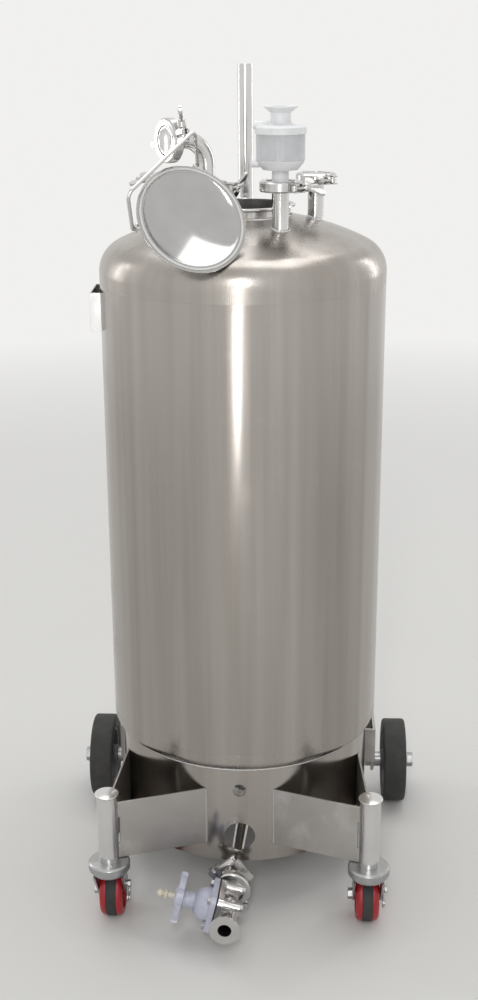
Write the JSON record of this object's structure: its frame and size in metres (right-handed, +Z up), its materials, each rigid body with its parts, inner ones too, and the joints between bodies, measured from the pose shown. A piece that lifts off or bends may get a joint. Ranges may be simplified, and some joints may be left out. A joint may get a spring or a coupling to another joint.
{
  "type": "conical fermenter",
  "caption": "Stainless conical fermenter on a wheeled skirt, open dished head with clamped ports, side filter, lifted lid and a bottom diaphragm valve.",
  "frame": {"origin": "on the floor, on the axis of the tank", "axes": "+Z up, -Y towards the front with the outlet valve, +X to the right seen from the front"},
  "size_m": [0.6306, 0.6059, 1.358],
  "materials": {
    "polished_steel": "polished stainless with faint vertical draw lines",
    "brushed_steel": "brushed plate, welded",
    "cast_steel": "investment cast stainless, tumbled",
    "zinc": "bright zinc plate",
    "rubber": "matt black",
    "gasket_white": "white silicone",
    "tyre": "solid rubber",
    "red_plastic": "moulded",
    "grey_hub": "moulded",
    "filter_plastic": "translucent white",
    "painted_casting": "light grey enamel",
    "cream_plastic": "moulded"
  },
  "bodies": {
    "tank": {"shell": "polished_steel", "top_head": "polished_steel", "bottom_cone": "polished_steel", "skirt": "polished_steel", "mouth_ferrule": "polished_steel", "port_tubes": "polished_steel", "riser_tube": "polished_steel", "riser_collar": "polished_steel", "plate_bracket": "polished_steel", "gaskets": "gasket_white", "port_caps": "polished_steel", "elbow": "polished_steel", "filter_body": "filter_plastic", "filter_cap": "filter_plastic", "leg_tubes": "polished_steel", "leg_caps": "polished_steel", "caster_cups": "zinc", "rear_arms": "brushed_steel", "rear_axles": "zinc", "axle_nuts": "zinc", "clamp_jaws": "cast_steel", "outlet_pipe": "polished_steel", "valve_body": "cast_steel", "valve_diaphragm": "rubber", "valve_bonnet": "painted_casting", "bonnet_bolts": "zinc", "left_arm": "brushed_steel", "right_arm": "brushed_steel"},
    "left_fork": {"left_caster_fork": "zinc", "left_caster_axle": "zinc"},
    "left_caster_wheel": {"left_caster_core": "red_plastic", "left_caster_tread": "tyre"},
    "left_brake": {"left_brake_lever": "zinc"},
    "left_rear_wheel": {"left_rear_hub": "grey_hub", "left_rear_tyre": "tyre"},
    "right_fork": {"right_caster_fork": "zinc", "right_caster_axle": "zinc"},
    "right_caster_wheel": {"right_caster_core": "red_plastic", "right_caster_tread": "tyre"},
    "right_brake": {"right_brake_lever": "zinc"},
    "right_rear_wheel": {"right_rear_hub": "grey_hub", "right_rear_tyre": "tyre"},
    "lid": {"lid": "polished_steel", "lid_seal": "gasket_white"},
    "bail": {"bail": "polished_steel"},
    "front_left_bolt": {"front_left_clamp_bolt": "cast_steel"},
    "front_left_nut": {"front_left_clamp_nut": "cast_steel"},
    "front_right_bolt": {"front_right_clamp_bolt": "cast_steel"},
    "front_right_nut": {"front_right_clamp_nut": "cast_steel"},
    "left_bolt": {"left_clamp_bolt": "cast_steel"},
    "left_nut": {"left_clamp_nut": "cast_steel"},
    "right_bolt": {"right_clamp_bolt": "cast_steel"},
    "right_nut": {"right_clamp_nut": "cast_steel"},
    "elbow_bolt": {"elbow_clamp_bolt": "cast_steel"},
    "elbow_nut": {"elbow_clamp_nut": "cast_steel"},
    "valve_bolt": {"valve_clamp_bolt": "cast_steel"},
    "valve_nut": {"valve_clamp_nut": "cast_steel"},
    "handwheel": {"handwheel": "painted_casting"},
    "spindle": {"spindle": "cream_plastic"}
  },
  "joints": [
    {"name": "left_caster_swivel", "type": "hinge", "parent": "tank", "child": "left_fork", "pos_m": [-0.21199, -0.263, 0.123], "axis": [0, 0, 1], "continuous": true},
    {"name": "left_caster_roll", "type": "hinge", "parent": "left_fork", "child": "left_caster_wheel", "pos_m": [-0.21199, -0.228, 0.0445], "axis": [1, 0, 0], "continuous": true},
    {"name": "left_brake_swing", "type": "hinge", "parent": "left_fork", "child": "left_brake", "pos_m": [-0.18749, -0.2455, 0.066], "axis": [1, 0, 0], "range_deg": [-40, 0]},
    {"name": "left_rear_roll", "type": "hinge", "parent": "tank", "child": "left_rear_wheel", "pos_m": [-0.278, 0.165, 0.0775], "axis": [1, 0, 0], "continuous": true},
    {"name": "right_caster_swivel", "type": "hinge", "parent": "tank", "child": "right_fork", "pos_m": [0.21199, -0.263, 0.123], "axis": [0, 0, 1], "continuous": true},
    {"name": "right_caster_roll", "type": "hinge", "parent": "right_fork", "child": "right_caster_wheel", "pos_m": [0.21199, -0.228, 0.0445], "axis": [1, 0, 0], "continuous": true},
    {"name": "right_brake_swing", "type": "hinge", "parent": "right_fork", "child": "right_brake", "pos_m": [0.23649, -0.2455, 0.066], "axis": [1, 0, 0], "range_deg": [-40, 0]},
    {"name": "right_rear_roll", "type": "hinge", "parent": "tank", "child": "right_rear_wheel", "pos_m": [0.278, 0.165, 0.0775], "axis": [1, 0, 0], "continuous": true},
    {"name": "lid_lift", "type": "slide", "parent": "tank", "child": "lid", "axis": [0.4112, -0.748, 0.521], "range_m": [0, 0.15]},
    {"name": "bail_swing", "type": "hinge", "parent": "lid", "child": "bail", "pos_m": [-0.10247, -0.18876, 1.17899], "axis": [0.5551, 0.6588, 0.5077], "range_deg": [0, 55]},
    {"name": "front_left_bolt_swing", "type": "hinge", "parent": "tank", "child": "front_left_bolt", "pos_m": [-0.01357, -0.12716, 1.18675], "axis": [0, 0, -1], "range_deg": [0, 90]},
    {"name": "front_left_nut_spin", "type": "hinge", "parent": "front_left_bolt", "child": "front_left_nut", "pos_m": [-0.00765, -0.11091, 1.18675], "axis": [0.342, 0.9397, 0], "continuous": true},
    {"name": "front_right_bolt_swing", "type": "hinge", "parent": "tank", "child": "front_right_bolt", "pos_m": [0.08168, -0.13586, 1.18675], "axis": [0, 0, -1], "range_deg": [0, 90]},
    {"name": "front_right_nut_spin", "type": "hinge", "parent": "front_right_bolt", "child": "front_right_nut", "pos_m": [0.09494, -0.12474, 1.18675], "axis": [0.766, 0.6428, 0], "continuous": true},
    {"name": "left_bolt_swing", "type": "hinge", "parent": "tank", "child": "left_bolt", "pos_m": [-0.12887, -0.00934, 1.18675], "axis": [0, 0, 1], "range_deg": [0, 90]},
    {"name": "left_nut_spin", "type": "hinge", "parent": "left_bolt", "child": "left_nut", "pos_m": [-0.14385, -0.00069, 1.18675], "axis": [-0.866, 0.5, 0], "continuous": true},
    {"name": "right_bolt_swing", "type": "hinge", "parent": "tank", "child": "right_bolt", "pos_m": [0.14061, -0.00485, 1.18675], "axis": [0, 0, 1], "range_deg": [0, 90]},
    {"name": "right_nut_spin", "type": "hinge", "parent": "right_bolt", "child": "right_nut", "pos_m": [0.12562, -0.0135, 1.18675], "axis": [-0.866, -0.5, 0], "continuous": true},
    {"name": "elbow_bolt_swing", "type": "hinge", "parent": "tank", "child": "elbow_bolt", "pos_m": [-0.07595, -0.17703, 1.25791], "axis": [0.809, 0.5878, 0], "range_deg": [0, 30]},
    {"name": "elbow_nut_spin", "type": "hinge", "parent": "elbow_bolt", "child": "elbow_nut", "pos_m": [-0.07806, -0.17413, 1.27483], "axis": [-0.1222, 0.1682, 0.9781], "continuous": true},
    {"name": "valve_bolt_swing", "type": "hinge", "parent": "tank", "child": "valve_bolt", "pos_m": [-0.04297, -0.24597, 0.08846], "axis": [-0.0497, -0.9988, 0], "range_deg": [0, 90]},
    {"name": "valve_nut_spin", "type": "hinge", "parent": "valve_bolt", "child": "valve_nut", "pos_m": [-0.02974, -0.24663, 0.09958], "axis": [0.7651, -0.0381, 0.6428], "range_deg": [-60, 30]},
    {"name": "handwheel_turn", "type": "hinge", "parent": "tank", "child": "handwheel", "pos_m": [-0.0875, -0.30162, 0.07871], "axis": [-0.9732, 0.0484, 0.225], "range_deg": [-1080, 0]},
    {"name": "spindle_rise", "type": "slide", "parent": "tank", "child": "spindle", "axis": [-0.9732, 0.0484, 0.225], "range_m": [-0.008, 0]}
  ],
  "couplings": [
    {"joint": "spindle_rise", "follows": "handwheel_turn", "m_per_rad": 0.00042441}
  ]
}
